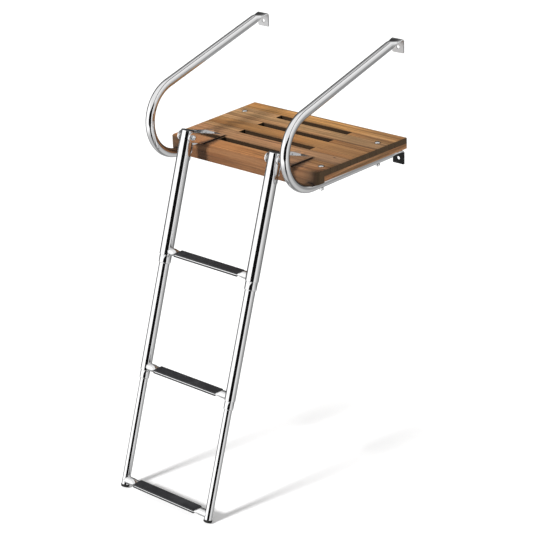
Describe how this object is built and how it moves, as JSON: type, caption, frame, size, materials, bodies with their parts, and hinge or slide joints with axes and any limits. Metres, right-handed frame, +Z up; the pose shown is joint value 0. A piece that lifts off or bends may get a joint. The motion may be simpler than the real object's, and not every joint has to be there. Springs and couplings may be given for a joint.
{
  "type": "boarding platform with folding telescopic ladder",
  "caption": "Slatted wooden boat boarding platform on bent tube handrails, with a telescopic tube ladder that folds over onto the deck.",
  "frame": {"origin": "on the transom face, mid width, level with the two lower mounting holes of the handrails", "axes": "+Z up, +Y towards the boat, square to the transom the part bolts to, +X to the right of somebody facing the boat from the water; the ladder hangs down at the -Y end"},
  "size_m": [0.48, 0.6462, 1.0276],
  "materials": {
    "teak": "oiled",
    "stainless": "polished",
    "fastener": "satin",
    "nylon": "satin",
    "black_plastic": "satin",
    "rubber": "matte"
  },
  "bodies": {
    "platform": {"front_plank": "teak", "plank_second": "teak", "plank_middle": "teak", "plank_fourth": "teak", "plank_rear": "teak", "slot_blocks_left": "teak", "slot_blocks_right": "teak", "batten_left": "teak", "batten_right": "teak", "handrail_left": "stainless", "handrail_right": "stainless", "deck_bolts": "fastener", "deck_nuts": "fastener", "hinge_bracket_left": "stainless", "hinge_bracket_right": "stainless", "hinge_screws": "fastener", "pivot_bolts": "fastener", "pivot_nuts": "fastener"},
    "ladder_upper": {"upper_tube_left": "stainless", "upper_tube_right": "stainless", "upper_crossbar": "stainless", "upper_tread": "black_plastic", "upper_collars": "stainless", "top_caps": "black_plastic", "pivot_sleeves": "nylon"},
    "ladder_middle": {"middle_tube_left": "stainless", "middle_tube_right": "stainless", "middle_crossbar": "stainless", "middle_tread": "black_plastic", "middle_guides": "nylon", "middle_collars": "stainless"},
    "ladder_lower": {"lower_tube_left": "stainless", "lower_tube_right": "stainless", "lower_crossbar": "stainless", "lower_tread": "black_plastic", "lower_guides": "nylon", "feet": "rubber"}
  },
  "joints": [
    {"name": "ladder_fold", "type": "hinge", "parent": "platform", "child": "ladder_upper", "pos_m": [0, -0.3645, 0.0841], "axis": [-1, 0, 0], "range_deg": [0, 251]},
    {"name": "middle_slide", "type": "slide", "parent": "ladder_upper", "child": "ladder_middle", "axis": [0, 0.3173, 0.9483], "range_m": [0, 0.242]},
    {"name": "lower_slide", "type": "slide", "parent": "ladder_middle", "child": "ladder_lower", "axis": [0, 0.3173, 0.9483], "range_m": [0, 0.242]}
  ]
}
